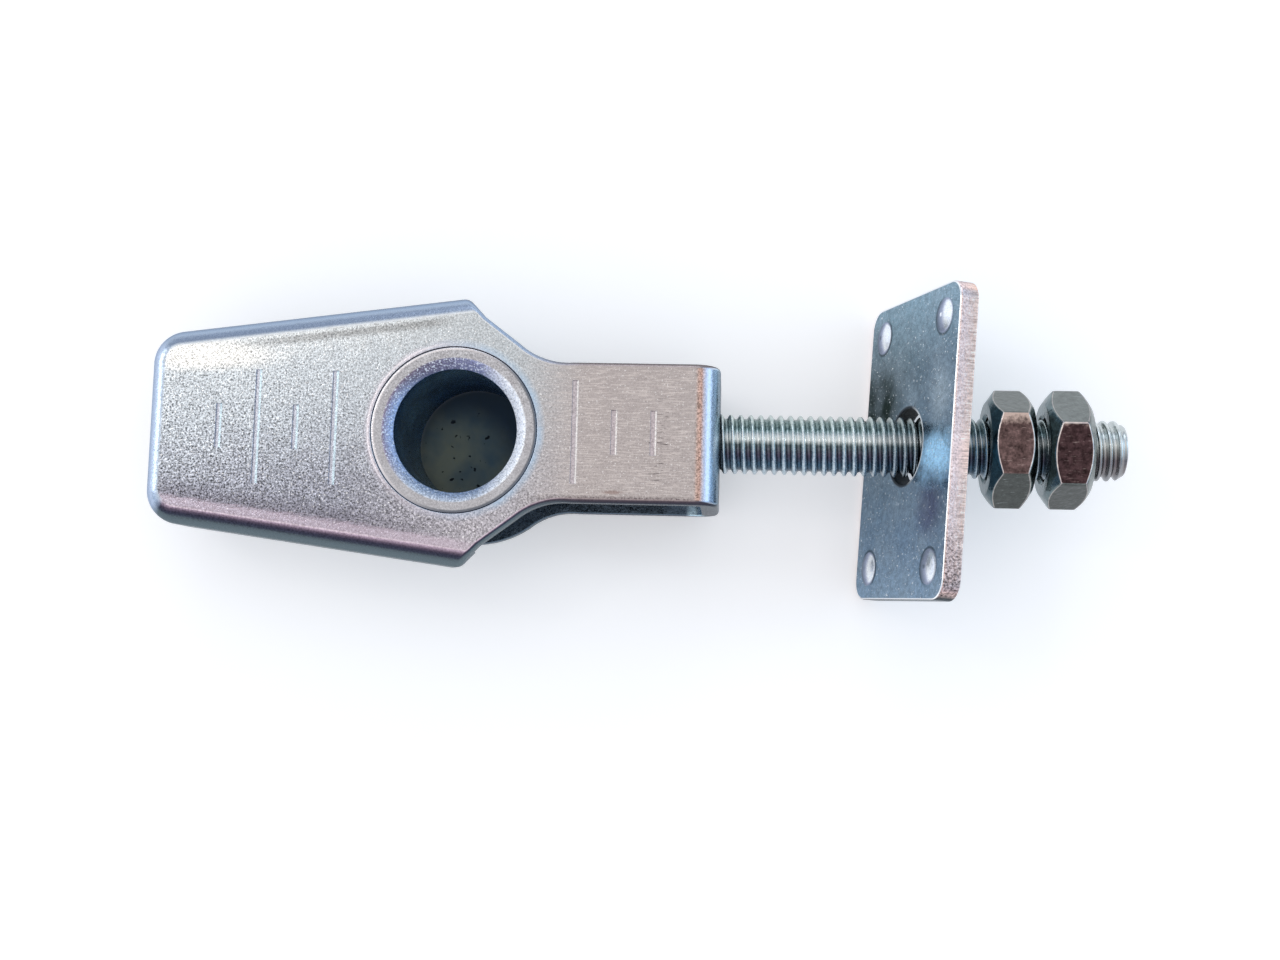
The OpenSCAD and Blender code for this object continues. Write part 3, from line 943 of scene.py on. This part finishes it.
def plate_material():
    m, g, s, p = material("plate_zinc")
    local = g.vec("SUBTRACT", p, tuple(PLATE_MIDDLE))
    out_axis, up_axis, across_axis = (tuple(axis) for axis in PLATE_TURN.transposed())
    up, across, depth = (g.dot(local, axis) for axis in (up_axis, across_axis, out_axis))
    n = g.normal()
    face = g.size(g.dot(n, out_axis))
    lean = g.dot(n, across_axis)
    grain = g.noise(p, 1.5, 3.0, 0.6)
    fine = g.noise(p, 5.5, 2.0, 0.6)
    grit = g.noise(p, 3.6, 2.0, 0.7)
    cloud = g.noise(p, 0.22, 2.0, 0.6)
    stray = g.mul(g.sub(g.noise(p, 0.4, 3.0, 0.6), 0.5), 3.0)
    # where the painted reflection patch lies by the hole, with a ragged outline
    reflection_patch = g.spot(g.add(up, stray), g.add(across, stray), (-1.9, 9.0), (4.6, 8.5), 0.2)
    colour = plate_face(g, p, up, across, reflection_patch, grain, fine, cloud)
    # the four raised bumps, with painted highlight and shade by which way the surface leans, and a
    # painted shade arc on one side of each
    a = g.sub(g.size(up), PLATE_HALF_HEIGHT - BUMP_INSET)
    b = g.sub(g.size(across), PLATE_HALF_WIDTH - BUMP_INSET)
    d = g.hypot(a, b)
    bump = g.speckled(g.ramp(g.between(lean, -0.6, 0.6), BUMP_TONES), fine, 1.0)
    colour = g.mix(g.between(d, 2.25, 2.1), colour, bump)
    rim = g.between(g.size(g.sub(d, 2.3)), 0.26, 0.08, 0.0, 0.65)
    rim = g.mul(rim, g.between(g.add(b, g.mul(a, 0.8)), 1.6, -0.4))
    colour = g.mix(rim, colour, rgb(40, 50, 56))
    edge = sheared_edge(g, p, up, depth, grit, cloud)
    colour = g.mix(g.between(face, 0.8, 0.5), colour, edge)
    # a painted highlight line along the face's outline, and the hole, painted dark as shade with a
    # painted highlight on one side of its lip
    hole = g.hypot(up, across)
    shine = g.mul(g.between(face, 0.98, 0.93), g.between(face, 0.5, 0.7))
    shine = g.mul(shine, g.between(depth, 0.3, 0.0), g.between(d, 2.6, 2.9))
    colour = g.mix(g.mul(shine, g.between(hole, 6.0, 7.0)), colour, WHITE)
    inside = g.between(hole, 5.25, 5.05)
    lip = g.mul(g.between(depth, -0.85, -1.0), g.between(across, 1.0, 3.5))
    colour = g.mix(inside, colour, g.mix(lip, rgb(34, 46, 56), rgb(226, 232, 234)))
    # painted shade on the end face that faces down
    underside_shade = g.between(g.dot(n, up_axis), -0.7, -0.9)
    colour = g.mix(underside_shade, colour, g.speckled(rgb(74, 76, 76), grit, 3.0))
    matt = g.most(g.mul(reflection_patch, 0.78), g.mul(inside, 0.9))
    roughening_and_edge_highlight = g.add(g.mul(matt, 0.4), g.between(d, 2.3, 2.1, 0.0, 0.12))
    g.put(s, "Base Color", colour)
    g.put(s, "Metallic", g.sub(1.0, matt))
    s.inputs["Specular Tint"].default_value = (0.56, 0.59, 0.62, 1.0)
    g.put(s, "Roughness", g.add(g.between(fine, 0.3, 0.7, 0.16, 0.3), roughening_and_edge_highlight))
    g.put(s, "Normal", g.bump(g.add(grain, g.mul(grit, 0.3)), 0.00005, 0.6))
    return m


def give(obj, mat):
    obj.data.materials.clear()
    obj.data.materials.append(mat)


# painted reflection tones of the facets towards the top, +Y and -Y, then the colour of the chamfer
# facing -X
NUT_1_TONES = ((98, 80, 79), (98, 103, 100), (74, 77, 75), (78, 98, 102))
NUT_2_TONES = ((68, 52, 54), (118, 123, 121), (72, 75, 73), (106, 120, 122))

give(carrier, carrier_material())
give(bush, bush_material())
give(bolt, bolt_material())
give(nut_1, nut_material("nut_zinc_1", 0, *NUT_1_TONES))
give(nut_2, nut_material("nut_zinc_2", 10, *NUT_2_TONES))
give(plate, plate_material())


# ---------------------------------------------------------------- floor, light, camera

# light that the floor adds for the camera, reflections and glass, so that it shows white
FLOOR_LIFT = 0.24


def floor_material():
    """White, with a painted shadow under the bore: a dark, mottled and specked patch that shows
    through the bore.
    """
    m = bpy.data.materials.new("floor")
    m.use_nodes = True
    g = Graph(m.node_tree)
    s = m.node_tree.nodes["Principled BSDF"]
    p = g.place()
    # painted shadow: a dark, mottled and specked patch under the bore, darkest near its middle
    under = g.between(g.distance(p, (EYE_RADIUS, 0, 0)), 7.5, 11.0, 1.0, 0.0, smooth=True)
    cloud = g.between(g.noise(p, 0.16, 3.0), 0.35, 0.65)
    shadow_patch = g.mix(cloud, rgb(98, 116, 118), rgb(150, 152, 128))
    shadow_patch = g.mix(g.between(g.noise(p, 0.9, 2.0), 0.66, 0.7), shadow_patch, rgb(30, 34, 36))
    shade = g.between(g.distance(p, (10.6, -1.6, 0)), 4.0, 8.5, 1.0, 0.0, smooth=True)
    shadow_patch = g.mix(shade, rgb(62, 76, 86), shadow_patch)
    rays = g.node("LightPath").outputs
    through = g.most(rays["Is Glossy Ray"], rays["Is Transmission Ray"])
    seen = g.most(rays["Is Camera Ray"], through)
    g.put(s, "Base Color", g.mix(under, rgb(247, 247, 247), shadow_patch))
    s.inputs["Roughness"].default_value = 0.9
    s.inputs["Specular IOR Level"].default_value = 0.1
    s.inputs["Emission Color"].default_value = (1, 1, 1, 1)
    g.put(s, "Emission Strength", g.mul(seen, FLOOR_LIFT, g.sub(1.0, under)))
    return m


def floor():
    """A plane that the strap's eye and the plate's lowest corner stand on."""
    corner = Vector((PLATE_HALF_THICKNESS, 0, -PLATE_HALF_WIDTH))
    low = PLATE_TURN @ corner + PLATE_MIDDLE
    slope = math.atan2(low.z + HALF_HEIGHT, low.x + EYE_RADIUS)
    size = 3.0
    mesh = bpy.data.meshes.new("floor")
    mesh.from_pydata(
        [(-size, -size, 0), (size, -size, 0), (size, size, 0), (-size, size, 0)],
        [],
        [(0, 1, 2, 3)],
    )
    obj = bpy.data.objects.new("floor", mesh)
    bpy.context.scene.collection.objects.link(obj)
    obj.location = (-EYE_RADIUS * MM, 0, -HALF_HEIGHT * MM - 0.00005)
    obj.rotation_euler = (0, -slope, 0)
    mesh.materials.append(floor_material())


def lamp(name, direction, distance, size_x, size_y, power, colour):
    light = bpy.data.lights.new(name, "AREA")
    light.shape = "RECTANGLE"
    light.size, light.size_y = size_x, size_y
    light.energy = power
    light.color = colour
    obj = bpy.data.objects.new(name, light)
    bpy.context.scene.collection.objects.link(obj)
    d = Vector(direction).normalized()
    obj.location = d * distance
    obj.rotation_mode = "QUATERNION"
    obj.rotation_quaternion = d.to_track_quat("Z", "Y")


def sky():
    """White overhead, with a tint of its own towards each of the four sides."""
    world = bpy.data.worlds.new("world")
    bpy.context.scene.world = world
    world.use_nodes = True
    tree = world.node_tree
    tree.nodes.clear()
    g = Graph(tree)
    x, y, z = g.axes(g.node("TexCoord").outputs["Generated"])
    flat = g.most(g.add(g.square(x), g.square(y)), 0.0001)
    side = rgb(222, 232, 244)
    for way, tint in (
        (g.mul(y, -1.0), (228, 223, 232)),
        (y, (206, 214, 230)),
        (x, (178, 218, 250)),
    ):
        share = g.math("DIVIDE", g.square(g.most(way, 0.0)), flat)
        side = g.mix(share, side, rgb(*tint))
    level = g.mix(g.between(z, 0.5, 0.9, smooth=True), side, rgb(249, 246, 246))
    level = g.mix(g.between(z, 0.16, 0.02, smooth=True), level, rgb(250, 250, 252))
    back = g.node("Background", {0: level, 1: 1.0})
    out = g.node("OutputWorld")
    tree.links.new(back.outputs[0], out.inputs[0])


# the camera fitted to the photo: focal length in its pixels, place in millimetres, turn
PHOTO_WIDTH, FOCAL_LENGTH = 1280, 1525.363
CAMERA_PLACE = (22.74784, -6.15339, 185.82773)
TURN_X, TURN_Y, TURN_Z = -0.10135, -0.05909, -0.01976


def camera():
    turn = (
        Matrix.Rotation(TURN_Z, 3, "Z")
        @ Matrix.Rotation(TURN_Y, 3, "Y")
        @ Matrix.Rotation(TURN_X, 3, "X")
    ).transposed()
    data = bpy.data.cameras.new("camera")
    data.sensor_fit = "HORIZONTAL"
    data.sensor_width = 36.0
    data.lens = FOCAL_LENGTH / PHOTO_WIDTH * 36
    data.clip_start, data.clip_end = 0.01, 20
    obj = bpy.data.objects.new("camera", data)
    bpy.context.scene.collection.objects.link(obj)
    place = turn @ Vector(CAMERA_PLACE) + Vector((0, 0, HALF_HEIGHT))
    obj.matrix_world = Matrix.Translation(place * MM) @ turn.to_4x4()
    bpy.context.scene.camera = obj


floor()
lamp("window", (-0.45, 0.26, 0.855), 0.7, 0.09, 0.07, 0.12, (1.0, 1.0, 0.98))
lamp("left_strip", (-1.0, 0.25, 0.35), 0.7, 0.34, 0.2, 0.5, (1.0, 0.99, 1.0))
lamp("right_sky", (1.0, 0.1, 0.3), 0.7, 0.5, 0.3, 0.5, (0.7, 0.86, 1.0))
lamp("back_sky", (0.1, 1.0, 0.55), 0.8, 0.5, 0.24, 0.6, (0.9, 0.95, 1.0))
sky()
camera()
bpy.context.scene.view_settings.view_transform = "Standard"
